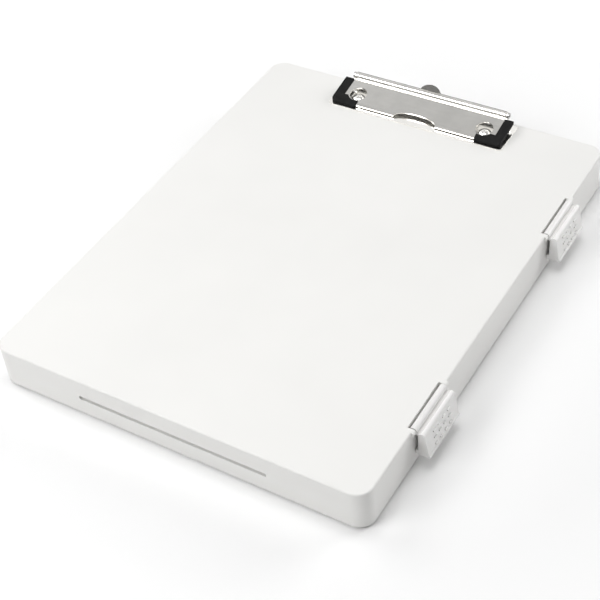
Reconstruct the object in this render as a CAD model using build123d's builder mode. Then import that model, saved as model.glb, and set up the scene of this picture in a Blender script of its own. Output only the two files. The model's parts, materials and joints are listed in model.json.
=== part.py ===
"""Storage clipboard box: a shallow tray under a deep hinged cover with a sheet-metal paper clip.

Millimetres. The origin is the centre of the tray's underside. +X points to the latch side,
+Y to the clip end, +Z up. The cover's hinge runs along the -X side.
"""

import os
from math import cos, pi, radians, sin, sqrt

from build123d import *

os.makedirs("parts", exist_ok=True)

# Box, over the cover's outer faces
box_width = 240.0
box_length = 310.0
box_height = 27.6
corner_radius = 9.5

# Cover shell
cover_wall = 2.0
cover_plate = 2.4
cover_edge_fillet = 1.1
cover_rim_fillet = 0.6
rim_height = 1.5

# Tray
floor_thickness = 1.6
tray_wall = 1.8
tray_inner_corner = 1.0
leaf_gap = 0.3
side_gap = 1.0
tray_top_gap = 0.9

# Slot in the front walls, with a round eye at its hinge-side end
slot_length = 122.0
slot_height = 2.4
slot_sill = 12.9
slot_corner = 0.6
slot_eye_radius = 1.4
tray_window_margin = 0.5

# Fits
running_gap = 0.05
press_gap = 0.01
seat_gap = 0.05

# Cover hinge
hinge_pin_radius = 1.2
hinge_barrel_radius = 2.8
hinge_clearance = 0.4
hinge_end_inset = 51.0
tray_knuckle_length = 14.0
cover_knuckle_length = 9.0
knuckle_gap = 0.4
knuckle_gusset = 3.4

# Latches
latch_length = 34.5
latch_front_inset = 69.4
latch_rear_inset = 72.6
latch_end_gap = 0.5
latch_pin_radius = 0.8
latch_barrel_radius = 2.2
latch_ear_wall = 1.0
latch_ear_length = 2.6
latch_pin_bite = 2.2
latch_pivot_inset = 0.4
notch_inner_gap = 1.0
notch_floor_gap = 0.6
block_wall = 2.0
latch_deck_drop = 3.1
latch_deck_thickness = 1.2
latch_stand_off = 6.3
latch_draft = 2.2
latch_skin = 1.6
latch_end_web = 1.8
latch_wall_gap = 2.0
latch_ridge_radius = 1.7
latch_ridge_sink = 0.8
latch_foot_height = 3.2
latch_foot_gap = 0.4
latch_bottom_z = 8.5
latch_bead_radius = 0.9

# Snap catch between a latch and the tray
hook_length = 19.0
hook_thickness = 2.2
hook_tip_inset = 0.3
catch_tip_gap = 0.5
catch_ledge_gap = 0.3
catch_height = 4.9
catch_face = 2.2
window_side_gap = 1.5
window_top_gap = 1.0

# Clip base plate and rod
clip_width = 125.0
clip_reach = 26.9
clip_set_back = 3.5
clip_sheet = 0.9
clip_corner = 2.5
rod_height = 7.7
rod_radius = 0.9
ear_radius = 2.0
ear_gap = 0.4
retainer_thickness = 0.8
rod_end = 0.5

# Jaw
jaw_width = 120.0
jaw_sheet = 0.7
jaw_set_back = 3.1
jaw_lip = 1.9
jaw_bend_rise = 0.7
jaw_rear_drop = 1.0
jaw_rear_gap = 3.3
hood_length = 108.5
hood_gap = 0.2
hood_mouth_from = 220.0
hood_mouth_to = 305.0
tab_width = 15.0
tab_rise = 4.6
tab_lean = 70.0
finger_notch_width = 30.0
finger_notch_depth = 5.2

# Corner caps
cap_skin = 0.5
cap_top_skin = 0.9
cap_overhang = 1.0
cap_front_overhang = 1.2
cap_arm_width = 6.0
cap_front_arm = 18.0
cap_front_depth = 7.0
cap_rear_gap = 0.2
cap_corner = 2.5
cap_gap = 0.3
cap_hole_margin = 0.9

# Rivets
rivet_inset = 16.7
rivet_from_rod = 14.5
rivet_shank_radius = 1.6
rivet_head_radius = 4.5
rivet_head_height = 2.0
rivet_tail_radius = 3.2
rivet_tail_height = 1.2
washer_radius = 5.0
washer_thickness = 0.8
jaw_hole_radius = 5.7

# Jaw springs
spring_wire_radius = 0.3
spring_rod_gap = 0.1
spring_pitch = 1.15
spring_turns = 9
spring_inset = 8.0
spring_leg_slope = 35.0
spring_short_leg = 0.5

# Places that follow from the sizes above
wall_x = box_width / 2
end_y = box_length / 2
ceiling_z = box_height - cover_plate
tray_inset = cover_wall + side_gap
tray_face_x = wall_x - tray_inset
bite = cover_wall / 2

latch_ear_radius = latch_pin_radius + latch_ear_wall
latch_pivot_x = wall_x - latch_pivot_inset
latch_pivot_z = box_height - latch_ear_radius
notch_x = latch_pivot_x - latch_barrel_radius - notch_inner_gap
notch_z = latch_pivot_z - latch_barrel_radius - notch_floor_gap
notch_length = latch_length + 2 * latch_end_gap
block_z = notch_z - block_wall
tray_top_z = block_z - tray_top_gap
latch_places = {"near": latch_front_inset - end_y, "far": end_y - latch_rear_inset}

foot_z = latch_bottom_z + latch_foot_height
hook_top_z = foot_z - catch_ledge_gap
hook_tip_x = wall_x - hook_tip_inset
catch_tip_x = hook_tip_x - catch_tip_gap

hinge_x = -wall_x - hinge_barrel_radius - hinge_clearance
hinge_z = hinge_barrel_radius + hinge_clearance
hinge_places = {"front": hinge_end_inset - end_y, "middle": 0.0, "rear": end_y - hinge_end_inset}
hinge_pin_length = tray_knuckle_length + 2 * (knuckle_gap + cover_knuckle_length)

clip_top_z = box_height + clip_sheet
rod_y = end_y - clip_set_back
rod_z = box_height + rod_height
clip_front_y = rod_y - clip_reach
spring_radius = rod_radius + spring_rod_gap + spring_wire_radius
hood_inner = spring_radius + spring_wire_radius + hood_gap
hood_outer = hood_inner + jaw_sheet
hood_middle = (hood_inner + hood_outer) / 2
ear_x = hood_length / 2 + ear_gap
jaw_tip_y = clip_front_y + jaw_set_back
jaw_tip_z = clip_top_z + cap_gap + cap_skin + jaw_sheet
jaw_bend_y = jaw_tip_y + jaw_lip
jaw_bend_z = jaw_tip_z + jaw_bend_rise
jaw_rear_y = rod_y - sqrt(hood_middle**2 - jaw_rear_drop**2)
jaw_rear_z = rod_z - jaw_rear_drop
jaw_slope = (jaw_rear_z - jaw_bend_z) / (jaw_rear_y - jaw_bend_y)
rivet_x = clip_width / 2 - rivet_inset
rivet_y = rod_y - rivet_from_rod
washer_z = ceiling_z - washer_thickness


def box_outline(inset, height):
    """Plan of the box at a height, drawn in by inset on every side."""
    with BuildSketch(Plane.XY.offset(height)) as outline:
        Rectangle(box_width - 2 * inset, box_length - 2 * inset)
        fillet(outline.vertices(), max(corner_radius - inset, tray_inner_corner))
    return outline.sketch


def section_at(y):
    """Plane across the box at y, in which a sketch's own x and y are X and Z."""
    return Plane.XZ.offset(-y)


def axle_plane(x, y, z):
    """Plane square to an axle that runs along Y through the given point."""
    return Plane(origin=(x, y, z), x_dir=(1, 0, 0), z_dir=(0, -1, 0))


def front_window(margin):
    """Cutter for the slot through a front wall, larger by margin all round."""
    with BuildPart() as cutter:
        with BuildSketch(section_at(-end_y + tray_inset)):
            with Locations((0, slot_sill + slot_height / 2)):
                RectangleRounded(slot_length + 2 * margin, slot_height + 2 * margin, slot_corner + margin)
            with Locations((slot_eye_radius - slot_length / 2, slot_sill + slot_height / 2)):
                Circle(slot_eye_radius + margin)
        extrude(amount=2 * tray_inset, both=True)
    return cutter.part


def save(piece, name):
    """Label a finished piece and write its file."""
    piece.label = name
    export_step(piece, "parts/" + name + ".step")


# Tray: floor plate, the walls inside the cover, one catch for each latch, hinge knuckles
with BuildPart() as base_tray:
    extrude(box_outline(tray_inset, 0), amount=tray_top_z)
    extrude(
        box_outline(tray_inset + tray_wall, floor_thickness),
        amount=tray_top_z - floor_thickness,
        mode=Mode.SUBTRACT,
    )
    for y in latch_places.values():
        with BuildSketch(section_at(y)):
            with BuildLine():
                Polyline(
                    (tray_face_x - tray_wall / 2, foot_z),
                    (catch_tip_x, foot_z),
                    (catch_tip_x, foot_z + catch_face),
                    (tray_face_x, foot_z + catch_height),
                    (tray_face_x - tray_wall / 2, foot_z + catch_height),
                    close=True,
                )
            make_face()
        extrude(amount=hook_length / 2, both=True)
    for y in hinge_places.values():
        with BuildSketch(section_at(y)):
            with Locations((hinge_x, hinge_z)):
                Circle(hinge_barrel_radius)
            with BuildLine():
                Polyline(
                    (hinge_x, 0),
                    (-wall_x + tray_inset + tray_wall, 0),
                    (-wall_x + tray_inset + tray_wall, floor_thickness),
                    (hinge_x, floor_thickness),
                    close=True,
                )
            make_face()
        extrude(amount=tray_knuckle_length / 2, both=True)
        with BuildSketch(axle_plane(hinge_x, y, hinge_z)):
            Circle(hinge_pin_radius + running_gap)
        extrude(amount=tray_knuckle_length, both=True, mode=Mode.SUBTRACT)
    add(front_window(tray_window_margin), mode=Mode.SUBTRACT)
save(base_tray.part, "base_tray")

# Cover: writing plate and walls in one shell, open below
with BuildPart() as top_cover:
    extrude(box_outline(0, rim_height), amount=box_height - rim_height)
    fillet(top_cover.faces().sort_by(Axis.Z)[-1].edges(), cover_edge_fillet)
    fillet(top_cover.faces().sort_by(Axis.Z)[0].edges(), cover_rim_fillet)
    extrude(box_outline(cover_wall, rim_height), amount=ceiling_z - rim_height, mode=Mode.SUBTRACT)

    # Each latch has a block behind its notch, an ear at each end and a window for its hook
    for y in latch_places.values():
        with BuildSketch(section_at(y)):
            with BuildLine():
                Polyline(
                    (notch_x - block_wall, block_z),
                    (wall_x - bite, block_z),
                    (wall_x - bite, ceiling_z + cover_plate / 2),
                    (notch_x - block_wall, ceiling_z + cover_plate / 2),
                    close=True,
                )
            make_face()
        extrude(amount=notch_length / 2 + latch_ear_length, both=True)
        with BuildSketch(axle_plane(latch_pivot_x, y, latch_pivot_z)):
            Circle(latch_ear_radius)
        extrude(amount=notch_length / 2 + latch_ear_length, both=True)
        with BuildSketch(section_at(y)):
            with BuildLine():
                Polyline(
                    (notch_x, notch_z),
                    (wall_x + latch_stand_off, notch_z),
                    (wall_x + latch_stand_off, box_height + cover_plate),
                    (notch_x, box_height + cover_plate),
                    close=True,
                )
            make_face()
        extrude(amount=notch_length / 2, both=True, mode=Mode.SUBTRACT)
        with BuildSketch(axle_plane(latch_pivot_x, y, latch_pivot_z)):
            Circle(latch_pin_radius + press_gap)
        extrude(amount=notch_length / 2 + latch_pin_bite, both=True, mode=Mode.SUBTRACT)
        with BuildSketch(section_at(y)):
            with BuildLine():
                Polyline(
                    (wall_x - cover_wall - side_gap / 2, 0),
                    (wall_x + bite, 0),
                    (wall_x + bite, foot_z + catch_height + window_top_gap),
                    (wall_x - cover_wall - side_gap / 2, foot_z + catch_height + window_top_gap),
                    close=True,
                )
            make_face()
        extrude(amount=hook_length / 2 + window_side_gap, both=True, mode=Mode.SUBTRACT)

    # Hinge knuckles, a pair at each place, webbed to the wall, with a notch between for the tray's leaf
    for y in hinge_places.values():
        with BuildSketch(section_at(y)):
            with BuildLine():
                Polyline(
                    (-wall_x - bite, 0),
                    (-wall_x + cover_wall + side_gap / 2, 0),
                    (-wall_x + cover_wall + side_gap / 2, floor_thickness + leaf_gap),
                    (-wall_x - bite, floor_thickness + leaf_gap),
                    close=True,
                )
            make_face()
        extrude(amount=tray_knuckle_length / 2 + knuckle_gap, both=True, mode=Mode.SUBTRACT)
        for side in (-1, 1):
            knuckle_y = y + side * ((tray_knuckle_length + cover_knuckle_length) / 2 + knuckle_gap)
            with BuildSketch(section_at(knuckle_y)):
                with Locations((hinge_x, hinge_z)):
                    Circle(hinge_barrel_radius)
                with BuildLine():
                    Polyline(
                        (hinge_x, hinge_z),
                        (-wall_x + bite, hinge_z),
                        (-wall_x + bite, hinge_z + hinge_barrel_radius + knuckle_gusset),
                        (hinge_x, hinge_z + hinge_barrel_radius),
                        close=True,
                    )
                make_face()
            extrude(amount=cover_knuckle_length / 2, both=True)
        with BuildSketch(axle_plane(hinge_x, y, hinge_z)):
            Circle(hinge_pin_radius + press_gap)
        extrude(amount=hinge_pin_length, both=True, mode=Mode.SUBTRACT)

    add(front_window(0), mode=Mode.SUBTRACT)
    with Locations((-rivet_x, rivet_y, ceiling_z), (rivet_x, rivet_y, ceiling_z)):
        Cylinder(rivet_shank_radius + running_gap, 4 * cover_plate, mode=Mode.SUBTRACT)
save(top_cover.part, "top_cover")

# Hinge pins of the cover
for place, y in hinge_places.items():
    with BuildPart(axle_plane(hinge_x, y, hinge_z)) as hinge_pin:
        Cylinder(hinge_pin_radius, hinge_pin_length)
    save(hinge_pin.part, "cover_hinge_pin_" + place)

# Latches: barrel, ridged deck, grip face, end webs, foot with its hook
web_x = wall_x + latch_wall_gap
face_x = wall_x + latch_stand_off
deck_z = box_height - latch_deck_drop
ridge_z = deck_z - latch_ridge_sink
deck_under_z = deck_z - latch_deck_thickness
draft_at_foot = latch_draft * (ridge_z - foot_z) / (ridge_z - latch_bottom_z)
for place, y in latch_places.items():
    with BuildPart() as latch:
        with BuildSketch(section_at(y)):
            with BuildLine():
                Polyline(
                    (latch_pivot_x, deck_z),
                    (face_x - latch_ridge_radius, deck_z),
                    (face_x, ridge_z),
                    (face_x + latch_draft, latch_bottom_z),
                    (wall_x + latch_foot_gap, latch_bottom_z),
                    (wall_x + latch_foot_gap, foot_z),
                    (web_x, foot_z),
                    (web_x, deck_under_z),
                    (latch_pivot_x, deck_under_z),
                    close=True,
                )
            make_face()
            with Locations((latch_pivot_x, latch_pivot_z)):
                Circle(latch_barrel_radius)
            with Locations((face_x - latch_ridge_radius, ridge_z)):
                Circle(latch_ridge_radius)
            with Locations((face_x + latch_draft - latch_bead_radius / 3, latch_bottom_z + latch_bead_radius)):
                Circle(latch_bead_radius)
        extrude(amount=latch_length / 2, both=True)
        with BuildSketch(section_at(y)):
            with BuildLine():
                Polyline(
                    (web_x, foot_z),
                    (face_x + draft_at_foot - latch_skin, foot_z),
                    (face_x - latch_skin, deck_under_z),
                    (web_x, deck_under_z),
                    close=True,
                )
            make_face()
        extrude(amount=latch_length / 2 - latch_end_web, both=True, mode=Mode.SUBTRACT)
        with BuildSketch(section_at(y)):
            with BuildLine():
                Polyline(
                    (hook_tip_x, hook_top_z - hook_thickness),
                    (web_x, hook_top_z - hook_thickness),
                    (web_x, hook_top_z),
                    (hook_tip_x, hook_top_z),
                    close=True,
                )
            make_face()
        extrude(amount=hook_length / 2, both=True)
        with BuildSketch(axle_plane(latch_pivot_x, y, latch_pivot_z)):
            Circle(latch_pin_radius + running_gap)
        extrude(amount=latch_length, both=True, mode=Mode.SUBTRACT)
    save(latch.part, "latch_" + place)

    with BuildPart(axle_plane(latch_pivot_x, y, latch_pivot_z)) as latch_pin:
        Cylinder(latch_pin_radius, notch_length + 2 * latch_pin_bite)
    save(latch_pin.part, "latch_pin_" + place)

# Clip base plate, with an ear for the rod at each rear corner
with BuildPart() as clip_base_plate:
    with BuildSketch(Plane.XY.offset(box_height)) as clip_plan:
        with Locations((0, (clip_front_y + rod_y) / 2)):
            Rectangle(clip_width, clip_reach)
        fillet(clip_plan.vertices().group_by(Axis.Y)[0], clip_corner)
    extrude(amount=clip_sheet)
    for side in (-1, 1):
        with BuildSketch(Plane.YZ.offset(side * (ear_x + clip_sheet / 2))):
            with Locations((rod_y, rod_z)):
                Circle(ear_radius)
            with BuildLine():
                Polyline(
                    (rod_y - ear_radius, box_height),
                    (rod_y, box_height),
                    (rod_y + ear_radius, rod_z),
                    (rod_y - ear_radius, rod_z),
                    close=True,
                )
            make_face()
            with Locations((rod_y, rod_z)):
                Circle(rod_radius + press_gap, mode=Mode.SUBTRACT)
        extrude(amount=clip_sheet / 2, both=True)
    with Locations((-rivet_x, rivet_y, clip_top_z), (rivet_x, rivet_y, clip_top_z)):
        Cylinder(rivet_shank_radius + running_gap, 4 * clip_sheet, mode=Mode.SUBTRACT)
save(clip_base_plate.part, "clip_base_plate")

# Hinge rod of the clip and the two retainers pushed onto its ends
rod_plane = Plane(origin=(0, rod_y, rod_z), x_dir=(0, 1, 0), z_dir=(1, 0, 0))
retainer_x = ear_x + clip_sheet + seat_gap
with BuildPart(rod_plane) as clip_hinge_rod:
    Cylinder(rod_radius, 2 * (retainer_x + retainer_thickness + rod_end))
save(clip_hinge_rod.part, "clip_hinge_rod")

with BuildPart() as rod_retainers:
    for side in (-1, 1):
        with BuildSketch(rod_plane.offset(side * (retainer_x + retainer_thickness / 2))):
            Circle(ear_radius)
            Circle(rod_radius + press_gap, mode=Mode.SUBTRACT)
        extrude(amount=retainer_thickness / 2, both=True)
save(rod_retainers.part, "rod_retainers")


def jaw_top(y):
    """Height of the jaw plate's upper face behind its bend."""
    return jaw_bend_z + (y - jaw_bend_y) * jaw_slope


def jaw_sheet_section():
    """Section of the jaw's plate and front lip."""
    with BuildSketch(Plane.YZ) as section:
        with BuildLine():
            Polyline(
                (jaw_tip_y, jaw_tip_z - jaw_sheet),
                (jaw_tip_y, jaw_tip_z),
                (jaw_bend_y, jaw_bend_z),
                (jaw_rear_y, jaw_rear_z),
                (jaw_rear_y, jaw_rear_z - jaw_sheet),
                (jaw_bend_y, jaw_bend_z - jaw_sheet),
                close=True,
            )
        make_face()
    return section.sketch


def round_rod(radius, angle):
    """Place at a radius from the rod's axis, its angle counted from +Y towards +Z."""
    return (radius * cos(radians(angle)), radius * sin(radians(angle)))


# Jaw: plate and lip, the hood rolled round the rod, its end cheeks and the thumb tab
tab_y, tab_z = round_rod(hood_middle, tab_lean)
tab_plane = Plane(
    origin=(0, rod_y + tab_y, rod_z + tab_z),
    x_dir=(1, 0, 0),
    z_dir=(0, -sin(radians(tab_lean)), cos(radians(tab_lean))),
)
with BuildPart() as clip_jaw:
    extrude(jaw_sheet_section(), amount=jaw_width / 2, both=True)
    with BuildSketch(Plane.XY.offset(box_height)):
        with Locations((-jaw_width / 2, rod_y), (jaw_width / 2, rod_y)):
            Rectangle(jaw_width - hood_length + jaw_sheet, 2 * jaw_rear_gap)
    extrude(amount=2 * rod_height, mode=Mode.SUBTRACT)
    with BuildSketch(rod_plane):
        Circle(hood_outer)
        Circle(hood_inner, mode=Mode.SUBTRACT)
        with BuildLine():
            Polyline(
                (0, 0),
                round_rod(2 * hood_outer, hood_mouth_from),
                round_rod(2 * hood_outer, (hood_mouth_from + hood_mouth_to) / 2),
                round_rod(2 * hood_outer, hood_mouth_to),
                close=True,
            )
        make_face(mode=Mode.SUBTRACT)
    extrude(amount=hood_length / 2, both=True)
    for side in (-1, 1):
        with BuildSketch(rod_plane.offset(side * (hood_length - jaw_sheet) / 2)):
            Circle(hood_outer)
            Circle(rod_radius + running_gap, mode=Mode.SUBTRACT)
        extrude(amount=jaw_sheet / 2, both=True)
    with BuildSketch(tab_plane):
        with BuildLine():
            ThreePointArc((-tab_width / 2, 0), (0, tab_rise), (tab_width / 2, 0))
            Line((tab_width / 2, 0), (-tab_width / 2, 0))
        make_face()
    extrude(amount=jaw_sheet / 2, both=True)
    with BuildSketch(Plane.XY.offset(box_height)):
        with Locations((0, jaw_tip_y)):
            Ellipse(finger_notch_width / 2, finger_notch_depth)
        with Locations((-rivet_x, rivet_y), (rivet_x, rivet_y)):
            Circle(jaw_hole_radius)
    extrude(amount=rod_height, mode=Mode.SUBTRACT)
save(clip_jaw.part, "clip_jaw")

# Black caps that wrap the jaw's front corners and grip the paper
cap_edge_x = jaw_width / 2 + cap_overhang
cap_front_y = jaw_tip_y - cap_front_overhang
cap_rear_y = rod_y - jaw_rear_gap - cap_rear_gap
with BuildPart() as corner_cap_right:
    with BuildSketch(Plane.YZ):
        with BuildLine():
            Polyline(
                (cap_front_y, clip_top_z + cap_gap),
                (cap_front_y, jaw_tip_z),
                (jaw_bend_y, jaw_bend_z + cap_top_skin),
                (cap_rear_y, jaw_top(cap_rear_y) + cap_top_skin),
                (cap_rear_y, jaw_top(cap_rear_y) - jaw_sheet - cap_skin),
                (jaw_bend_y, clip_top_z + cap_gap),
                close=True,
            )
        make_face()
    extrude(amount=jaw_width)
    with BuildSketch(Plane.XY.offset(box_height)) as cap_plan:
        with Locations((cap_edge_x - cap_front_arm / 2, cap_front_y + cap_front_depth / 2)):
            Rectangle(cap_front_arm, cap_front_depth)
        with Locations((cap_edge_x - cap_arm_width / 2, (cap_front_y + cap_rear_y) / 2)):
            Rectangle(cap_arm_width, cap_rear_y - cap_front_y)
        fillet(cap_plan.vertices().group_by(Axis.X)[-1].sort_by(Axis.Y)[0], cap_corner)
        with Locations((rivet_x, rivet_y)):
            Circle(jaw_hole_radius + cap_hole_margin, mode=Mode.SUBTRACT)
    extrude(amount=2 * rod_height, mode=Mode.INTERSECT)
    extrude(jaw_sheet_section(), amount=jaw_width / 2, both=True, mode=Mode.SUBTRACT)
save(corner_cap_right.part, "corner_cap_right")

with BuildPart() as corner_cap_left:
    mirror(corner_cap_right.part, about=Plane.YZ)
save(corner_cap_left.part, "corner_cap_left")

# Rivets through clip plate and cover, and the washers inside the cover
tail_z = washer_z - rivet_tail_height
with BuildPart() as rivet:
    with BuildSketch(section_at(rivet_y)):
        with BuildLine():
            ThreePointArc(
                (rivet_x, clip_top_z + rivet_head_height),
                (rivet_x + rivet_head_radius * sin(pi / 4), clip_top_z + rivet_head_height * cos(pi / 4)),
                (rivet_x + rivet_head_radius, clip_top_z),
            )
            Polyline(
                (rivet_x + rivet_head_radius, clip_top_z),
                (rivet_x + rivet_shank_radius, clip_top_z),
                (rivet_x + rivet_shank_radius, washer_z),
                (rivet_x + rivet_tail_radius, washer_z),
                (rivet_x + rivet_shank_radius, tail_z),
                (rivet_x, tail_z),
                (rivet_x, clip_top_z + rivet_head_height),
            )
        make_face()
    revolve(axis=Axis((rivet_x, rivet_y, 0), (0, 0, 1)))
with BuildPart() as clip_rivets:
    add(rivet.part)
    mirror(rivet.part, about=Plane.YZ)
save(clip_rivets.part, "clip_rivets")

with BuildPart() as rivet_washers:
    with BuildSketch(Plane.XY.offset(washer_z)):
        with Locations((-rivet_x, rivet_y), (rivet_x, rivet_y)):
            Circle(washer_radius)
            Circle(rivet_shank_radius + running_gap, mode=Mode.SUBTRACT)
    extrude(amount=washer_thickness)
save(rivet_washers.part, "rivet_washers")

# Torsion springs round the rod, each with a short leg in the hood and a long one on the plate
winding = 360 * spring_turns - spring_leg_slope
coil_end_x = hood_length / 2 - spring_inset


def coil_place(wound):
    """Point and direction of the right spring's wire after some degrees of winding."""
    angle = radians(-90 - wound)
    rise = spring_pitch / (2 * pi)
    place = Vector(
        coil_end_x - spring_pitch * wound / 360,
        rod_y + spring_radius * cos(angle),
        rod_z + spring_radius * sin(angle),
    )
    way = Vector(-rise, spring_radius * sin(angle), -spring_radius * cos(angle))
    return place, way.normalized()


def biarc_joint(wound_from, wound_to):
    """Where the two arcs meet that lead from one place of the wire to another."""
    start, start_way = coil_place(wound_from)
    end, end_way = coil_place(wound_to)
    chord = end - start
    turn = 2 * (1 - start_way.dot(end_way))
    along = chord.dot(start_way + end_way)
    reach = (sqrt(along**2 + turn * chord.dot(chord)) - along) / turn
    return (start + end + (start_way - end_way) * reach) * 0.5


coil_start, start_way = coil_place(0)
coil_end, end_way = coil_place(winding)
leg_end_z = clip_top_z + spring_wire_radius * cos(radians(spring_leg_slope)) + seat_gap
long_leg = (leg_end_z - coil_end.Z) / end_way.Z
half_turns = 2 * spring_turns
with BuildPart() as clip_spring_right:
    with BuildLine() as spring_path:
        Line(coil_start - start_way * spring_short_leg, coil_start)
        for count in range(half_turns):
            wound = winding * count / half_turns
            wound_next = winding * (count + 1) / half_turns
            joint = biarc_joint(wound, wound_next)
            first_arc = TangentArc(coil_place(wound)[0], joint, tangent=coil_place(wound)[1])
            TangentArc(joint, coil_place(wound_next)[0], tangent=first_arc % 1)
        Line(coil_end, coil_end + end_way * long_leg)
    with BuildSketch(Plane(origin=coil_start - start_way * spring_short_leg, z_dir=start_way)):
        Circle(spring_wire_radius)
    sweep()
save(clip_spring_right.part, "clip_spring_right")

with BuildPart() as clip_spring_left:
    mirror(clip_spring_right.part, about=Plane.YZ)
save(clip_spring_left.part, "clip_spring_left")

# Least gap between the spring's turns, over points more than half a turn apart
samples_per_turn = 36
samples = samples_per_turn * spring_turns
wire_points = [spring_path.line @ (step / samples) for step in range(samples + 1)]
least_gap = min(
    (second - first).length - 2 * spring_wire_radius
    for index, first in enumerate(wire_points)
    for second in wire_points[index + samples_per_turn // 2:]
)
print("clip spring: least gap between turns", round(least_gap, 3), "mm")
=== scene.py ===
"""The storage clipboard box as it looks: moulded plastic, plated clip, black rubber corners."""

import json
from math import cos, radians, sin

import bmesh
import bpy
from bpy.props import FloatProperty, FloatVectorProperty, IntProperty, PointerProperty
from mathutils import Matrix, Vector

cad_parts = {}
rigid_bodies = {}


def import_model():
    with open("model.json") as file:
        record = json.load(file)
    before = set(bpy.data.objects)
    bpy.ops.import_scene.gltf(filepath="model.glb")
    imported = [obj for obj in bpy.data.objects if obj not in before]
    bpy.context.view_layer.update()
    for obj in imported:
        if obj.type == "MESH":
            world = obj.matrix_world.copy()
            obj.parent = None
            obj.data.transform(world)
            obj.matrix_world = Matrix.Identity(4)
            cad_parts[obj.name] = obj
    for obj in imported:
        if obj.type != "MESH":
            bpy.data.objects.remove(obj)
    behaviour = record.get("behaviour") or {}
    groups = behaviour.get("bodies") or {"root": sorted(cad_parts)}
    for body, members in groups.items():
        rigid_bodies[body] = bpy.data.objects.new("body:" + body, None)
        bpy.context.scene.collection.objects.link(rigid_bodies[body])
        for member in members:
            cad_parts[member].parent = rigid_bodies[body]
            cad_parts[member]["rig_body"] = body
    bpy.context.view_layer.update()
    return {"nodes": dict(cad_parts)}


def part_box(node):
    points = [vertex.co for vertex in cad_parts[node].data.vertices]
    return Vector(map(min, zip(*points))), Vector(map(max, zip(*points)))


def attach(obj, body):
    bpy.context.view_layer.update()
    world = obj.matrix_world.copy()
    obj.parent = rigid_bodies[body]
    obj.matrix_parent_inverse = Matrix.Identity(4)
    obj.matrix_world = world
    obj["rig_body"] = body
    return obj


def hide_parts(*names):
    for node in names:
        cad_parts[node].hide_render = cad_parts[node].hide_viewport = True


bl_info = {
    "name": "Storage clipboard box",
    "version": (1, 0, 0),
    "blender": (4, 5, 0),
    "location": "View3D > Sidebar > Clipboard box",
    "description": "Dresses the pieces of a storage clipboard box and sets its stage",
    "category": "Object",
}

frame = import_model()
nodes = frame["nodes"]

MM = 0.001

# Nearer points are one point, faces that turn less are one flat face, and edges that turn
# more are rounded
MERGE_DISTANCE = 0.002 * MM
FLAT_ANGLE = radians(0.8)
SHARP_ANGLE = radians(32)
EDGE_SEGMENTS = 3
CAP_EDGE_SEGMENTS = 4
FLAT_FACE_WEIGHT = 100

# Noise: its detail, coarser in flow clouds and finer in grain, and the stretch of its values
# that is spread over a finish
NOISE_DETAIL = 3.0
FLOW_CLOUD_DETAIL = 2.0
GRAIN_DETAIL = 4.0
NOISE_ROUGHNESS = 0.55
NOISE_LOW = 0.3
NOISE_HIGH = 0.7

# Patches of each finish per metre; the rub marks are drawn out along one way and turned
FLOW_CLOUDS = 16.0
RUB_MARKS = (40.0, 320.0, 320.0)
RUB_MARK_TURN = radians(28)
METAL_CLOUDS = 70.0
RUBBED_PATCHES = 180.0
DULL_PATCHES = 260.0

# Each finish varies its colour between two shares of it, and its roughness by two steps
PLASTIC_TINT = (0.985, 1.01)
PLASTIC_STEPS = (-0.05, 0.07)
METAL_TINT = (0.94, 1.03)
METAL_STEPS = (-0.04, 0.06)
RUBBER_TINT = (0.8, 1.5)
RUBBER_STEPS = (-0.08, 0.12)

# Relief of the finishes, and the shine of those that aren't metal
GRAIN_STRENGTH = 0.6
STREAK_DEPTH = 0.002 * MM
STREAK_STRENGTH = 0.5
PORE_DEPTH = 0.02 * MM
PORE_STRENGTH = 0.7
PLASTIC_SHINE = 0.42
PLASTIC_IOR = 1.49
RUBBER_SHINE = 0.12

# Rounding of a grip dash: rounds of subdivision, and how much of its edges they keep
DASH_SMOOTHING = 3
DASH_CREASE = 0.42

# Stage: the floor's reach in metres each way from the middle, its finish, and the fade, a sine
# of the elevation, on each side of which one part of the mirrored room turns into the next
FLOOR_REACH = 6.0
FLOOR_ROUGHNESS = 0.7
FLOOR_SHINE = 0.1
MIRROR_FADE = 0.06
STRAIGHT_UP = radians(90)
SENSOR_WIDTH_MM = 36.0
WHITE = (1, 1, 1, 1)

# Axes by number, and the sockets of a Mix node, which has a set for numbers and one for colours
ALONG_X = 0
ALONG_Y = 1
MIX_FACTOR = 0
NUMBER_A = 2
NUMBER_B = 3
MIXED_NUMBER = 0
COLOUR_A = 6
COLOUR_B = 7
MIXED_COLOUR = 2

LATCHES = ("near", "far")
HINGE_PINS = ("front", "middle", "rear")
SIDES = ("left", "right")


class ClipboxPlastic(bpy.types.PropertyGroup):
    cover_colour: FloatVectorProperty(
        name="Cover colour", description="White of the cover and the latches",
        default=(0.9, 0.895, 0.875), subtype="COLOR", min=0, max=1)
    tray_colour: FloatVectorProperty(
        name="Tray colour", description="White of the tray",
        default=(0.86, 0.855, 0.835), subtype="COLOR", min=0, max=1)
    roughness: FloatProperty(
        name="Roughness", description="Middle of the plastic's roughness", default=0.42,
        subtype="FACTOR", min=0, max=1)
    grain: FloatProperty(
        name="Grain", description="Size of the fine grain of the mould", default=0.45 * MM,
        unit="LENGTH", min=0.01 * MM)
    grain_depth: FloatProperty(
        name="Grain depth", description="Depth of the fine grain", default=0.004 * MM,
        unit="LENGTH", min=0)
    edge: FloatProperty(
        name="Edge", description="Rounding of the cover's and the tray's edges", default=0.22 * MM,
        unit="LENGTH", min=0)
    latch_edge: FloatProperty(
        name="Latch edge", description="Rounding of the latches' edges", default=0.35 * MM,
        unit="LENGTH", min=0)


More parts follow.
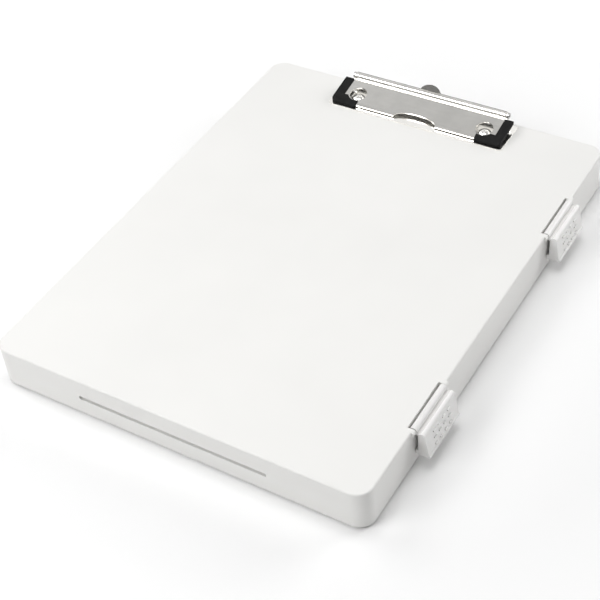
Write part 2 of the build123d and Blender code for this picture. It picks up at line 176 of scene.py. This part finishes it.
class ClipboxGrip(bpy.types.PropertyGroup):
    rows: IntProperty(name="Rows", description="Rows of dashes on a latch's face", default=3, min=1)
    dashes: IntProperty(name="Dashes", description="Dashes in a row", default=4, min=1)
    dash_length: FloatProperty(
        name="Dash length", description="Length of one dash before its rounding", default=3.0 * MM,
        unit="LENGTH", min=0)
    dash_width: FloatProperty(
        name="Dash width", description="Width of one dash before its rounding", default=1.1 * MM,
        unit="LENGTH", min=0)
    dash_height: FloatProperty(
        name="Dash height", description="Thickness of one dash before its rounding, half of it sunk",
        default=1.5 * MM, unit="LENGTH", min=0)
    dash_pitch: FloatProperty(
        name="Dash pitch", description="Distance between dashes in a row", default=5.4 * MM,
        unit="LENGTH", min=0)
    row_pitch: FloatProperty(
        name="Row pitch", description="Distance between rows", default=4.6 * MM, unit="LENGTH", min=0)
    middle_row_drop: FloatProperty(
        name="Middle row drop", description="From the latch's top to its middle row",
        default=11.4 * MM, unit="LENGTH", min=0)
    bead_overhang: FloatProperty(
        name="Bead overhang", description="How far the bottom bead stands out beyond the middle row",
        default=1.73 * MM, unit="LENGTH", min=0)
    draft: FloatProperty(
        name="Draft", description="Lean of the grip face, outwards at its foot",
        default=radians(8.6), subtype="ANGLE")


class ClipboxMetal(bpy.types.PropertyGroup):
    plate_colour: FloatVectorProperty(
        name="Plating", description="Colour of the clip's plating",
        default=(0.92, 0.905, 0.87), subtype="COLOR", min=0, max=1)
    plate_roughness: FloatProperty(
        name="Plating roughness", description="Middle of the plating's roughness", default=0.16,
        subtype="FACTOR", min=0, max=1)
    wire_colour: FloatVectorProperty(
        name="Drawn steel", description="Colour of pins, rod and springs",
        default=(0.56, 0.56, 0.55), subtype="COLOR", min=0, max=1)
    wire_roughness: FloatProperty(
        name="Drawn steel roughness", description="Middle of the drawn steel's roughness",
        default=0.26, subtype="FACTOR", min=0, max=1)
    streak_length: FloatProperty(
        name="Streak length", description="Length of the polishing streaks", default=14 * MM,
        unit="LENGTH", min=0.1 * MM)
    streak_width: FloatProperty(
        name="Streak width", description="Width of the polishing streaks", default=0.22 * MM,
        unit="LENGTH", min=0.01 * MM)
    edge: FloatProperty(
        name="Edge", description="Rounding of the sheet metal's edges", default=0.16 * MM,
        unit="LENGTH", min=0)


class ClipboxRubber(bpy.types.PropertyGroup):
    colour: FloatVectorProperty(
        name="Colour", description="Black of the corner caps", default=(0.011, 0.011, 0.011),
        subtype="COLOR", min=0, max=1)
    roughness: FloatProperty(
        name="Roughness", description="Middle of the rubber's roughness", default=0.62,
        subtype="FACTOR", min=0, max=1)
    pore: FloatProperty(
        name="Pore", description="Size of the pores in the skin", default=0.3 * MM,
        unit="LENGTH", min=0.01 * MM)
    edge: FloatProperty(
        name="Edge", description="Rounding of the caps' edges", default=0.42 * MM,
        unit="LENGTH", min=0)


class ClipboxStage(bpy.types.PropertyGroup):
    camera_place: FloatVectorProperty(
        name="Camera place", description="Where the camera stands",
        default=(0.35073, -0.51578, 0.57252), subtype="TRANSLATION", unit="LENGTH")
    camera_turn: FloatVectorProperty(
        name="Camera turn", description="Tilt, roll and heading of the camera",
        default=(radians(46.385), radians(4.748), radians(30.827)), subtype="EULER", unit="ROTATION")
    camera_lens: FloatProperty(
        name="Lens", description="Focal length on a 36 mm sensor", default=83.734, unit="CAMERA")
    floor_colour: FloatVectorProperty(
        name="Floor colour", description="White of the floor", default=(0.985, 0.985, 0.985),
        subtype="COLOR", min=0, max=1)
    floor_lift: FloatProperty(
        name="Floor lift", description="Glow that the camera alone sees on the far floor",
        default=0.9, min=0, max=1)
    shadow_reach: FloatProperty(
        name="Shadow reach", description="From the box's middle to where the floor's glow starts",
        default=0.22, unit="LENGTH", min=0)
    lift_reach: FloatProperty(
        name="Lift reach", description="From the box's middle to where the floor glows in full",
        default=1.2, unit="LENGTH", min=0)
    room_strength: FloatProperty(
        name="Room strength", description="Even light of the room on matt faces", default=0.12, min=0)
    mirror_strength: FloatProperty(
        name="Mirrored ceiling", description="Brightness that gloss and metal mirror from high up",
        default=0.46, min=0)
    backdrop_top: FloatProperty(
        name="Backdrop top", description="Sine of the elevation that the mirrored backdrop reaches up to",
        default=0.74, min=0, max=1)
    horizon_strength: FloatProperty(
        name="Mirrored horizon", description="Brightness that gloss and metal mirror near the horizon",
        default=0.03, min=0)
    horizon_top: FloatProperty(
        name="Horizon top", description="Sine of the elevation that the dim horizon reaches up to",
        default=0.49, min=0, max=1)
    lamp_distance: FloatProperty(
        name="Lamp distance", description="From the box to each lamp", default=1.5, unit="LENGTH", min=0.1)
    lamp_size: FloatProperty(
        name="Lamp size", description="Width of each soft lamp", default=0.8, unit="LENGTH", min=0.01)
    key_heading: FloatProperty(
        name="Key heading", description="Side that the main lamp stands on, counted from +X towards +Y",
        default=radians(-120), subtype="ANGLE", unit="ROTATION")
    key_height: FloatProperty(
        name="Key height", description="Elevation of the main lamp", default=radians(43),
        subtype="ANGLE", unit="ROTATION")
    key_power: FloatProperty(
        name="Key power", description="Watts of the main lamp", default=8.9, min=0)
    fill_heading: FloatProperty(
        name="Fill heading", description="Side that the second lamp stands on, counted from +X towards +Y",
        default=radians(55), subtype="ANGLE", unit="ROTATION")
    fill_height: FloatProperty(
        name="Fill height", description="Elevation of the second lamp", default=radians(24),
        subtype="ANGLE", unit="ROTATION")
    fill_power: FloatProperty(
        name="Fill power", description="Watts of the second lamp", default=8.2, min=0)
    side_heading: FloatProperty(
        name="Side heading", description="Side that the third lamp stands on, counted from +X towards +Y",
        default=radians(175), subtype="ANGLE", unit="ROTATION")
    side_height: FloatProperty(
        name="Side height", description="Elevation of the third lamp", default=radians(45),
        subtype="ANGLE", unit="ROTATION")
    side_power: FloatProperty(
        name="Side power", description="Watts of the third lamp", default=4.7, min=0)
    top_power: FloatProperty(
        name="Top power", description="Watts of the lamp overhead", default=8.4, min=0)


def add_nodes(tree):
    """Short way to add a node with its settings and constant inputs to a tree."""
    def add(kind, inputs=None, **settings):
        node = tree.nodes.new(kind)
        for name, value in settings.items():
            setattr(node, name, value)
        for name, value in (inputs or {}).items():
            node.inputs[name].default_value = value
        return node
    return add


def new_material(name):
    """An empty node material: its tree, its add function and its surface shader."""
    material = bpy.data.materials.new(name)
    material.use_nodes = True
    tree = material.node_tree
    shader = tree.nodes["Principled BSDF"]
    return material, tree, add_nodes(tree), shader


def ranged_noise(tree, add, vector, scale, low, high, detail=NOISE_DETAIL):
    """Noise over the piece, spread between two values; returns its output socket."""
    noise = add("ShaderNodeTexNoise", {
        "Scale": scale, "Detail": detail, "Roughness": NOISE_ROUGHNESS})
    spread = add("ShaderNodeMapRange", {
        "From Min": NOISE_LOW, "From Max": NOISE_HIGH, "To Min": low, "To Max": high})
    tree.links.new(vector, noise.inputs["Vector"])
    tree.links.new(noise.outputs["Fac"], spread.inputs["Value"])
    return spread.outputs["Result"]


def bump_from(tree, add, height, depth, strength):
    """Bump of a depth in metres from a height socket; returns its normal socket."""
    bump = add("ShaderNodeBump", {"Strength": strength, "Distance": depth})
    tree.links.new(height, bump.inputs["Height"])
    return bump.outputs["Normal"]


def tinted(tree, add, factor, colour, dark, light):
    """Colour that a factor varies between a darker and a lighter copy of it."""
    mix = add("ShaderNodeMix", data_type="RGBA")
    mix.inputs[COLOUR_A].default_value = (*[c * dark for c in colour], 1)
    mix.inputs[COLOUR_B].default_value = (*[min(c * light, 1) for c in colour], 1)
    tree.links.new(factor, mix.inputs[MIX_FACTOR])
    return mix.outputs[MIXED_COLOUR]


def varied(middle, steps):
    """The two ends that a value varies between, a step below its middle and one above."""
    return [middle + step for step in steps]


def moulded_plastic(name, colour, plastic):
    """White plastic with the mould's fine grain, faint flow clouds and small rub marks."""
    material, tree, add, shader = new_material(name)
    place = add("ShaderNodeTexCoord").outputs["Object"]
    clouds = ranged_noise(tree, add, place, FLOW_CLOUDS, 0.0, 1.0, FLOW_CLOUD_DETAIL)
    tree.links.new(tinted(tree, add, clouds, colour, *PLASTIC_TINT), shader.inputs["Base Color"])
    stretch = add("ShaderNodeMapping", {"Scale": RUB_MARKS, "Rotation": (0, 0, RUB_MARK_TURN)})
    tree.links.new(place, stretch.inputs["Vector"])
    rubs = ranged_noise(
        tree, add, stretch.outputs["Vector"], 1.0, *varied(plastic.roughness, PLASTIC_STEPS))
    tree.links.new(rubs, shader.inputs["Roughness"])
    grain = ranged_noise(tree, add, place, 1 / plastic.grain, 0.0, 1.0, GRAIN_DETAIL)
    relief = bump_from(tree, add, grain, plastic.grain_depth, GRAIN_STRENGTH)
    tree.links.new(relief, shader.inputs["Normal"])
    shader.inputs["Specular IOR Level"].default_value = PLASTIC_SHINE
    shader.inputs["IOR"].default_value = PLASTIC_IOR
    return material


def streaked_metal(name, colour, roughness, metal, along):
    """Bright steel with streaks along one axis, from rolling, drawing or polishing."""
    material, tree, add, shader = new_material(name)
    place = add("ShaderNodeTexCoord").outputs["Object"]
    scale = [1 / metal.streak_width] * 3
    scale[along] = 1 / metal.streak_length
    stretch = add("ShaderNodeMapping", {"Scale": scale})
    tree.links.new(place, stretch.inputs["Vector"])
    streaks = ranged_noise(
        tree, add, stretch.outputs["Vector"], 1.0, *varied(roughness, METAL_STEPS))
    tree.links.new(streaks, shader.inputs["Roughness"])
    clouds = ranged_noise(tree, add, place, METAL_CLOUDS, 0.0, 1.0)
    tree.links.new(tinted(tree, add, clouds, colour, *METAL_TINT), shader.inputs["Base Color"])
    relief = bump_from(tree, add, streaks, STREAK_DEPTH, STREAK_STRENGTH)
    tree.links.new(relief, shader.inputs["Normal"])
    shader.inputs["Metallic"].default_value = 1.0
    return material


def moulded_rubber(name, rubber):
    """Black rubber with a fine pored skin, whose black and dullness vary in small patches."""
    material, tree, add, shader = new_material(name)
    place = add("ShaderNodeTexCoord").outputs["Object"]
    rubbed = ranged_noise(tree, add, place, RUBBED_PATCHES, 0.0, 1.0)
    colour = tinted(tree, add, rubbed, rubber.colour, *RUBBER_TINT)
    tree.links.new(colour, shader.inputs["Base Color"])
    dullness = ranged_noise(tree, add, place, DULL_PATCHES, *varied(rubber.roughness, RUBBER_STEPS))
    tree.links.new(dullness, shader.inputs["Roughness"])
    pores = ranged_noise(tree, add, place, 1 / rubber.pore, 0.0, 1.0)
    relief = bump_from(tree, add, pores, PORE_DEPTH, PORE_STRENGTH)
    tree.links.new(relief, shader.inputs["Normal"])
    shader.inputs["Specular IOR Level"].default_value = RUBBER_SHINE
    return material


def dress(piece, material):
    """Give a piece its one material."""
    piece.data.materials.clear()
    piece.data.materials.append(material)


def link(piece):
    """Put an object into the scene; returns the object."""
    bpy.context.scene.collection.objects.link(piece)
    return piece


def finished(node, edge, material, segments=EDGE_SEGMENTS):
    """The node's shape with its edges rounded, in the node's place and on its body."""
    shape = bmesh.new()
    shape.from_mesh(nodes[node].data)
    bmesh.ops.remove_doubles(shape, verts=shape.verts, dist=MERGE_DISTANCE)
    bmesh.ops.dissolve_limit(shape, angle_limit=FLAT_ANGLE, verts=shape.verts, edges=shape.edges)
    mesh = bpy.data.meshes.new(node + "_finished")
    shape.to_mesh(mesh)
    shape.free()
    mesh.shade_smooth()
    piece = link(bpy.data.objects.new(node + "_finished", mesh))
    rounding = piece.modifiers.new("rounding", "BEVEL")
    rounding.width = edge
    rounding.segments = segments
    rounding.limit_method = "ANGLE"
    rounding.angle_limit = SHARP_ANGLE
    # Large faces set the shading, so that the rounded edges leave flat faces flat
    flatness = piece.modifiers.new("flatness", "WEIGHTED_NORMAL")
    flatness.mode = "FACE_AREA"
    flatness.weight = FLAT_FACE_WEIGHT
    dress(piece, material)
    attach(piece, nodes[node]["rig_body"])
    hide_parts(node)
    return piece


class CLIPBOX_OT_cover_and_tray(bpy.types.Operator):
    """Finish the cover and the tray in white moulded plastic"""
    bl_idname = "clipbox.cover_and_tray"
    bl_label = "Cover and tray"

    def execute(self, context):
        plastic = context.scene.clipbox_plastic
        cover = moulded_plastic("cover_plastic", plastic.cover_colour, plastic)
        tray = moulded_plastic("tray_plastic", plastic.tray_colour, plastic)
        finished("top_cover", plastic.edge, cover)
        finished("base_tray", plastic.edge, tray)
        return {"FINISHED"}


def grip_tree():
    """Node tree of a field of rounded dashes on a leaning face."""
    tree = bpy.data.node_groups.new("grip_dashes", "GeometryNodeTree")
    sockets = (
        ("Rows", "NodeSocketInt"), ("Dashes", "NodeSocketInt"),
        ("Row Pitch", "NodeSocketFloat"), ("Dash Pitch", "NodeSocketFloat"),
        ("Dash Size", "NodeSocketVector"), ("Face Centre", "NodeSocketVector"),
        ("Face Turn", "NodeSocketVector"), ("Material", "NodeSocketMaterial"),
    )
    identifiers = {}
    for name, kind in sockets:
        identifiers[name] = tree.interface.new_socket(name, in_out="INPUT", socket_type=kind).identifier
    tree.interface.new_socket("Geometry", in_out="OUTPUT", socket_type="NodeSocketGeometry")
    add = add_nodes(tree)
    given = add("NodeGroupInput").outputs
    result = add("NodeGroupOutput")

    def span(count, pitch):
        """Length of a row of so many copies at a pitch, measured between the outer two."""
        gaps = add("ShaderNodeMath", operation="SUBTRACT")
        gaps.inputs[1].default_value = 1
        length = add("ShaderNodeMath", operation="MULTIPLY")
        tree.links.new(count, gaps.inputs[0])
        tree.links.new(gaps.outputs[0], length.inputs[0])
        tree.links.new(pitch, length.inputs[1])
        return length.outputs[0]

    grid = add("GeometryNodeMeshGrid")
    tree.links.new(span(given["Rows"], given["Row Pitch"]), grid.inputs["Size X"])
    tree.links.new(span(given["Dashes"], given["Dash Pitch"]), grid.inputs["Size Y"])
    tree.links.new(given["Rows"], grid.inputs["Vertices X"])
    tree.links.new(given["Dashes"], grid.inputs["Vertices Y"])
    block = add("GeometryNodeMeshCube")
    tree.links.new(given["Dash Size"], block.inputs["Size"])
    rounded = add("GeometryNodeSubdivisionSurface", {
        "Level": DASH_SMOOTHING, "Edge Crease": DASH_CREASE})
    tree.links.new(block.outputs["Mesh"], rounded.inputs["Mesh"])
    copies = add("GeometryNodeInstanceOnPoints")
    tree.links.new(grid.outputs["Mesh"], copies.inputs["Points"])
    tree.links.new(rounded.outputs["Mesh"], copies.inputs["Instance"])
    real = add("GeometryNodeRealizeInstances")
    tree.links.new(copies.outputs["Instances"], real.inputs["Geometry"])
    move = add("GeometryNodeTransform")
    tree.links.new(real.outputs["Geometry"], move.inputs["Geometry"])
    tree.links.new(given["Face Centre"], move.inputs["Translation"])
    tree.links.new(given["Face Turn"], move.inputs["Rotation"])
    smooth = add("GeometryNodeSetShadeSmooth")
    tree.links.new(move.outputs["Geometry"], smooth.inputs["Geometry"])
    paint = add("GeometryNodeSetMaterial")
    tree.links.new(smooth.outputs["Geometry"], paint.inputs["Geometry"])
    tree.links.new(given["Material"], paint.inputs["Material"])
    tree.links.new(paint.outputs["Geometry"], result.inputs["Geometry"])
    return tree, identifiers


def made_by_tree(name, tree, identifiers, values):
    """Plain mesh object that a node tree makes from the given values."""
    maker = link(bpy.data.objects.new(name + "_maker", bpy.data.meshes.new(name + "_maker")))
    modifier = maker.modifiers.new("maker", "NODES")
    modifier.node_group = tree
    for socket, value in values.items():
        modifier[identifiers[socket]] = value
    seen = maker.evaluated_get(bpy.context.evaluated_depsgraph_get())
    mesh = bpy.data.meshes.new_from_object(seen)
    mesh.name = name
    bpy.data.objects.remove(maker)
    return link(bpy.data.objects.new(name, mesh))


class CLIPBOX_OT_latches(bpy.types.Operator):
    """Finish both latches and put the rows of grip dashes on their faces"""
    bl_idname = "clipbox.latches"
    bl_label = "Latches and grips"

    def execute(self, context):
        plastic = context.scene.clipbox_plastic
        grip = context.scene.clipbox_grip
        material = bpy.data.materials["cover_plastic"]
        tree, identifiers = grip_tree()
        for place in LATCHES:
            low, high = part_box("latch_" + place)
            finished("latch_" + place, plastic.latch_edge, material)
            centre = (high.x - grip.bead_overhang, (low.y + high.y) / 2, high.z - grip.middle_row_drop)
            dashes = made_by_tree("latch_grip_" + place, tree, identifiers, {
                "Rows": grip.rows,
                "Dashes": grip.dashes,
                "Row Pitch": grip.row_pitch,
                "Dash Pitch": grip.dash_pitch,
                "Dash Size": (grip.dash_width, grip.dash_length, grip.dash_height),
                "Face Centre": centre,
                "Face Turn": (0.0, radians(90) - grip.draft, 0.0),
                "Material": material,
            })
            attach(dashes, place + "_latch")
        return {"FINISHED"}


class CLIPBOX_OT_clip(bpy.types.Operator):
    """Finish the clip's base plate, jaw and rivets in bright plating"""
    bl_idname = "clipbox.clip"
    bl_label = "Clip plates and rivets"

    def execute(self, context):
        metal = context.scene.clipbox_metal
        plating = streaked_metal("plated_steel", metal.plate_colour, metal.plate_roughness, metal, ALONG_X)
        finished("clip_base_plate", metal.edge, plating)
        finished("clip_jaw", metal.edge, plating)
        finished("clip_rivets", metal.edge, plating)
        return {"FINISHED"}


class CLIPBOX_OT_corner_caps(bpy.types.Operator):
    """Finish the two corner caps in black rubber"""
    bl_idname = "clipbox.corner_caps"
    bl_label = "Corner caps"

    def execute(self, context):
        rubber = context.scene.clipbox_rubber
        material = moulded_rubber("black_rubber", rubber)
        for side in SIDES:
            finished("corner_cap_" + side, rubber.edge, material, CAP_EDGE_SEGMENTS)
        return {"FINISHED"}


class CLIPBOX_OT_steel_parts(bpy.types.Operator):
    """Give the pins, rod, retainers, springs and washers their drawn steel"""
    bl_idname = "clipbox.steel_parts"
    bl_label = "Pins, rod and springs"

    def execute(self, context):
        metal = context.scene.clipbox_metal
        along_y = streaked_metal("pin_steel", metal.wire_colour, metal.wire_roughness, metal, ALONG_Y)
        along_x = streaked_metal("rod_steel", metal.wire_colour, metal.wire_roughness, metal, ALONG_X)
        for place in HINGE_PINS:
            dress(nodes["cover_hinge_pin_" + place], along_y)
        for place in LATCHES:
            dress(nodes["latch_pin_" + place], along_y)
        for side in SIDES:
            dress(nodes["clip_spring_" + side], along_x)
        for node in ("clip_hinge_rod", "rod_retainers", "rivet_washers"):
            dress(nodes[node], along_x)
        return {"FINISHED"}


class CLIPBOX_OT_stage(bpy.types.Operator):
    """Set the pale floor, the soft light and the camera"""
    bl_idname = "clipbox.stage"
    bl_label = "Stage"

    def execute(self, context):
        stage = context.scene.clipbox_stage
        scene = context.scene
        scene.view_settings.view_transform = "Standard"
        make_floor(stage)
        make_room(stage, scene)
        make_lamp("key_lamp", stage, stage.key_heading, stage.key_height, stage.key_power)
        make_lamp("fill_lamp", stage, stage.fill_heading, stage.fill_height, stage.fill_power)
        make_lamp("side_lamp", stage, stage.side_heading, stage.side_height, stage.side_power)
        make_lamp("top_lamp", stage, 0, STRAIGHT_UP, stage.top_power)
        lens = bpy.data.cameras.new("camera")
        lens.lens = stage.camera_lens
        lens.sensor_width = SENSOR_WIDTH_MM
        camera = link(bpy.data.objects.new("camera", lens))
        camera.location = stage.camera_place
        camera.rotation_euler = stage.camera_turn
        scene.camera = camera
        return {"FINISHED"}


def make_floor(stage):
    """A wide pale floor, with a glow for the camera alone that grows away from the box."""
    mesh = bpy.data.meshes.new("floor")
    around = ((-1, -1), (1, -1), (1, 1), (-1, 1))
    corners = [(x * FLOOR_REACH, y * FLOOR_REACH, 0) for x, y in around]
    mesh.from_pydata(corners, [], [(0, 1, 2, 3)])
    floor = link(bpy.data.objects.new("floor", mesh))
    material, tree, add, shader = new_material("floor_paint")
    shader.inputs["Base Color"].default_value = (*stage.floor_colour, 1)
    shader.inputs["Roughness"].default_value = FLOOR_ROUGHNESS
    shader.inputs["Specular IOR Level"].default_value = FLOOR_SHINE
    shader.inputs["Emission Color"].default_value = WHITE
    path = add("ShaderNodeLightPath")
    lift = add("ShaderNodeMath", operation="MULTIPLY")
    place = add("ShaderNodeTexCoord")
    distance = add("ShaderNodeVectorMath", operation="LENGTH")
    glow = add("ShaderNodeMapRange", {
        "From Min": stage.shadow_reach, "From Max": stage.lift_reach,
        "To Min": 0.0, "To Max": stage.floor_lift})
    tree.links.new(place.outputs["Object"], distance.inputs[0])
    tree.links.new(distance.outputs["Value"], glow.inputs["Value"])
    tree.links.new(glow.outputs["Result"], lift.inputs[1])
    tree.links.new(path.outputs["Is Camera Ray"], lift.inputs[0])
    tree.links.new(lift.outputs[0], shader.inputs["Emission Strength"])
    dress(floor, material)


def make_room(stage, scene):
    """Even light of the room, white for the camera; gloss and metal mirror a room of their own.

    From the ground up, they mirror a dim horizon, a white backdrop and a dimmer ceiling.
    """
    world = bpy.data.worlds.new("room")
    scene.world = world
    world.use_nodes = True
    tree = world.node_tree
    tree.nodes.clear()
    add = add_nodes(tree)
    way = add("ShaderNodeTexCoord")
    split = add("ShaderNodeSeparateXYZ")
    ceiling = add("ShaderNodeMapRange", {
        "From Min": stage.backdrop_top - MIRROR_FADE, "From Max": stage.backdrop_top + MIRROR_FADE,
        "To Min": 1.0, "To Max": stage.mirror_strength})
    horizon = add("ShaderNodeMapRange", {
        "From Min": stage.horizon_top - MIRROR_FADE, "From Max": stage.horizon_top + MIRROR_FADE,
        "To Min": stage.horizon_strength, "To Max": 1.0})
    mirrored = add("ShaderNodeMath", operation="MULTIPLY")
    path = add("ShaderNodeLightPath")
    matt_or_gloss = add("ShaderNodeMix", data_type="FLOAT")
    matt_or_gloss.inputs[NUMBER_A].default_value = stage.room_strength
    strength = add("ShaderNodeMix", data_type="FLOAT")
    strength.inputs[NUMBER_B].default_value = 1.0
    background = add("ShaderNodeBackground", {"Color": WHITE})
    output = add("ShaderNodeOutputWorld")
    tree.links.new(way.outputs["Generated"], split.inputs[0])
    tree.links.new(split.outputs["Z"], ceiling.inputs["Value"])
    tree.links.new(split.outputs["Z"], horizon.inputs["Value"])
    tree.links.new(ceiling.outputs["Result"], mirrored.inputs[0])
    tree.links.new(horizon.outputs["Result"], mirrored.inputs[1])
    tree.links.new(path.outputs["Is Glossy Ray"], matt_or_gloss.inputs[MIX_FACTOR])
    tree.links.new(mirrored.outputs[0], matt_or_gloss.inputs[NUMBER_B])
    tree.links.new(path.outputs["Is Camera Ray"], strength.inputs[MIX_FACTOR])
    tree.links.new(matt_or_gloss.outputs[MIXED_NUMBER], strength.inputs[NUMBER_A])
    tree.links.new(strength.outputs[MIXED_NUMBER], background.inputs["Strength"])
    tree.links.new(background.outputs[0], output.inputs["Surface"])


def make_lamp(name, stage, heading, height, power):
    """A broad soft lamp that looks at the box from a side and a height."""
    light = bpy.data.lights.new(name, "AREA")
    light.shape = "DISK"
    light.size = stage.lamp_size
    light.energy = power
    lamp = link(bpy.data.objects.new(name, light))
    way = Vector((cos(heading) * cos(height), sin(heading) * cos(height), sin(height)))
    lamp.location = way * stage.lamp_distance
    lamp.rotation_euler = (-way).to_track_quat("-Z", "Y").to_euler()


SETTINGS = (
    ("clipbox_plastic", ClipboxPlastic),
    ("clipbox_grip", ClipboxGrip),
    ("clipbox_metal", ClipboxMetal),
    ("clipbox_rubber", ClipboxRubber),
    ("clipbox_stage", ClipboxStage),
)
MAKERS = (
    CLIPBOX_OT_cover_and_tray,
    CLIPBOX_OT_latches,
    CLIPBOX_OT_clip,
    CLIPBOX_OT_corner_caps,
    CLIPBOX_OT_steel_parts,
    CLIPBOX_OT_stage,
)


class CLIPBOX_PT_panel(bpy.types.Panel):
    """Lists the makers and their settings"""
    bl_label = "Clipboard box"
    bl_idname = "CLIPBOX_PT_panel"
    bl_space_type = "VIEW_3D"
    bl_region_type = "UI"
    bl_category = "Clipboard box"

    def draw(self, context):
        for maker in MAKERS:
            self.layout.operator(maker.bl_idname)
        for name, group in SETTINGS:
            box = self.layout.box()
            for setting in group.__annotations__:
                box.prop(getattr(context.scene, name), setting)


def register():
    for name, group in SETTINGS:
        bpy.utils.register_class(group)
        setattr(bpy.types.Scene, name, PointerProperty(type=group))
    for maker in (*MAKERS, CLIPBOX_PT_panel):
        bpy.utils.register_class(maker)


def unregister():
    for maker in (CLIPBOX_PT_panel, *reversed(MAKERS)):
        bpy.utils.unregister_class(maker)
    for name, group in reversed(SETTINGS):
        delattr(bpy.types.Scene, name)
        bpy.utils.unregister_class(group)


def main():
    """Make everything in order."""
    register()
    bpy.ops.clipbox.cover_and_tray()
    bpy.ops.clipbox.latches()
    bpy.ops.clipbox.clip()
    bpy.ops.clipbox.corner_caps()
    bpy.ops.clipbox.steel_parts()
    bpy.ops.clipbox.stage()


if __name__ == "__main__":
    main()
